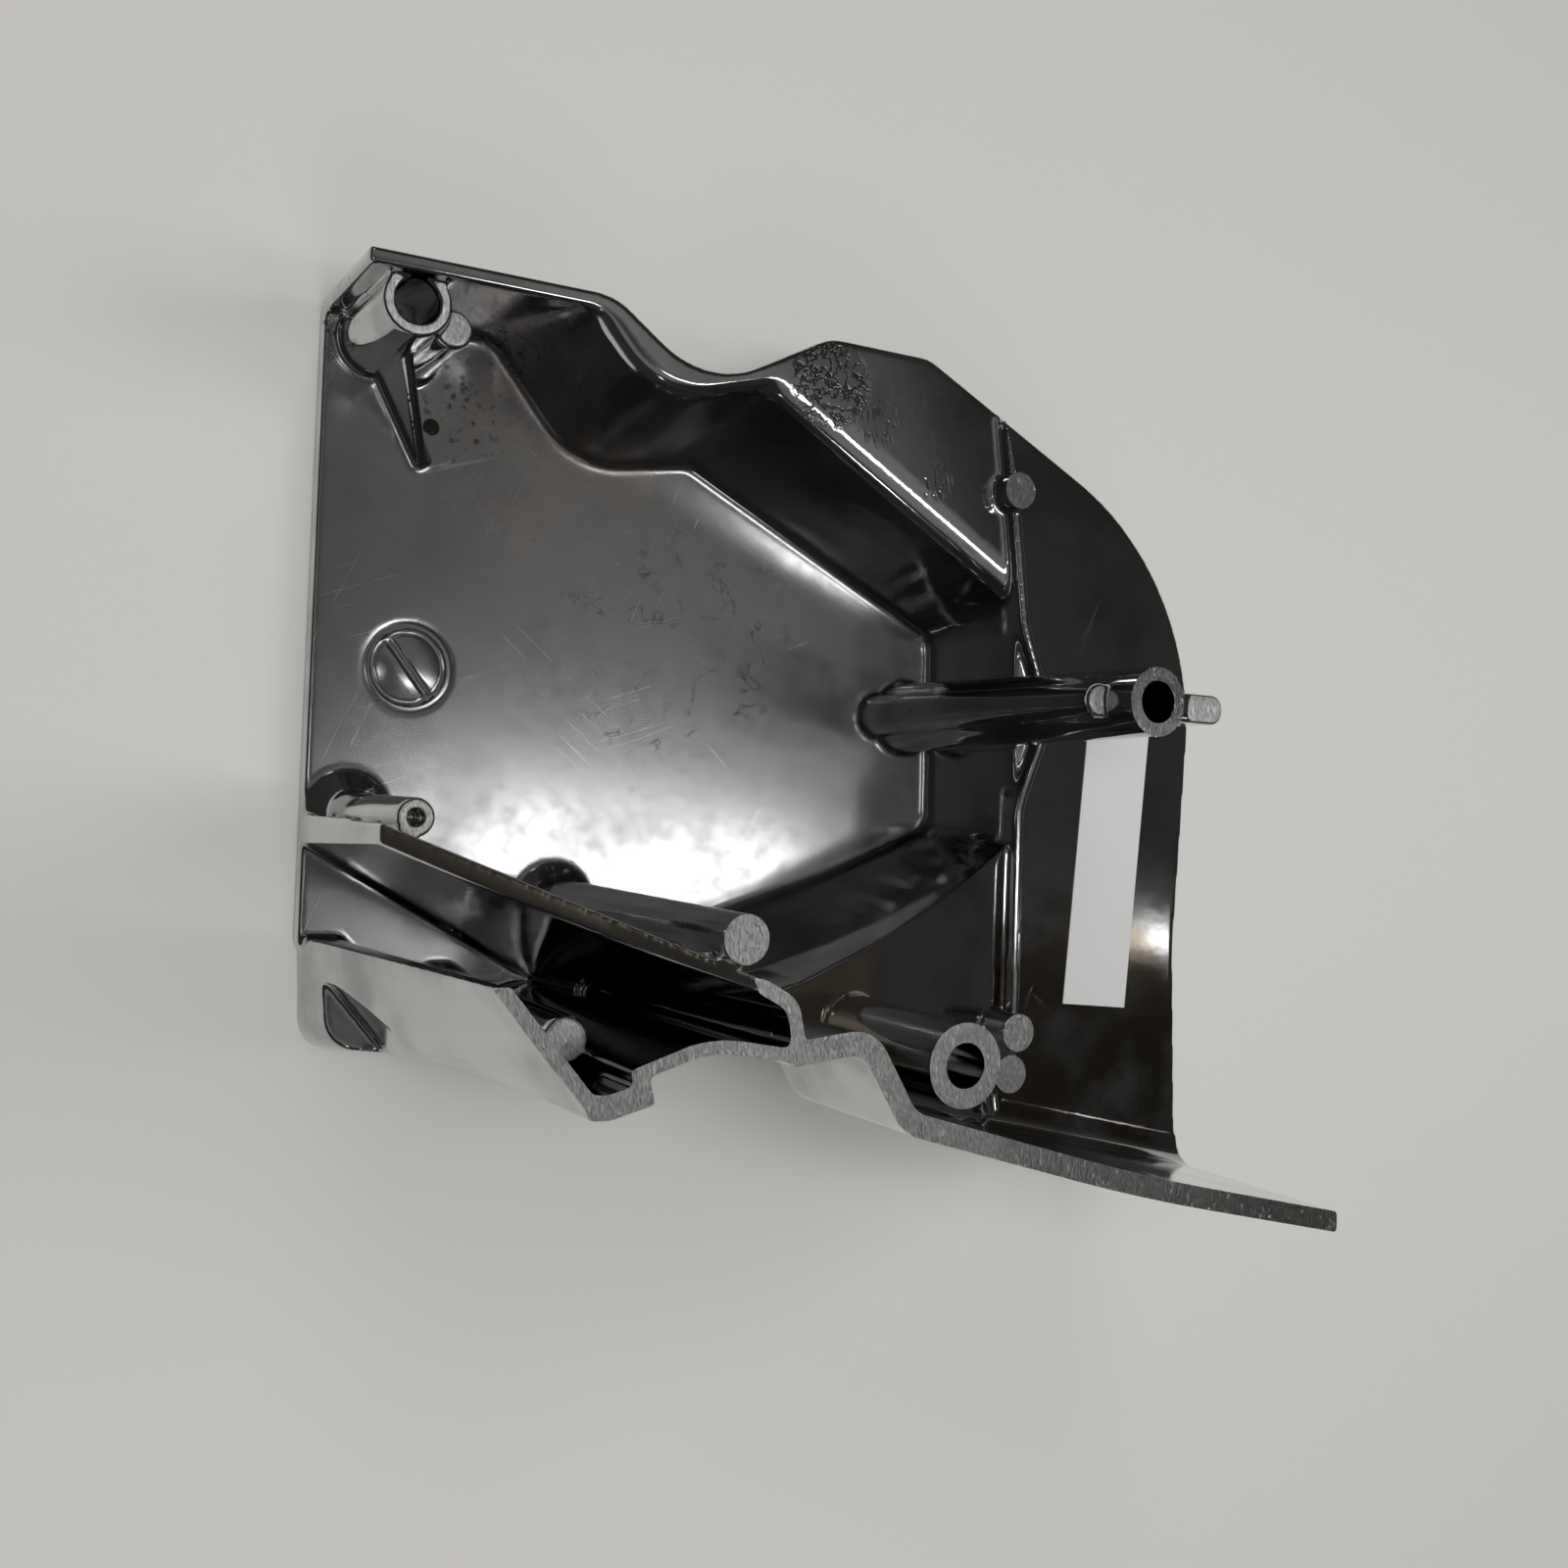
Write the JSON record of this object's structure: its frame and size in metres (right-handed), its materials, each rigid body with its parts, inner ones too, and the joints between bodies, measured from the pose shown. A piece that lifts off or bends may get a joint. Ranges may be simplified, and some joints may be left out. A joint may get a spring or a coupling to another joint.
{
  "type": "sprocket cover",
  "caption": "Chrome-plated cast cover for a motorbike's gearbox sprocket, with bolt posts, ribs and a cable channel inside, and a blank paper label.",
  "frame": {"origin": "middle of the cover's footprint, on the outer face it lies on", "axes": "+X from the open chain side to the rear flange, +Y up the cover, +Z from the outer face to the engine side"},
  "size_m": [0.1588, 0.1454, 0.074],
  "materials": {
    "chrome": "satin",
    "paper": "matte"
  },
  "bodies": {
    "root": {"sprocket_cover": "chrome", "stock_label": "paper"}
  },
  "joints": []
}
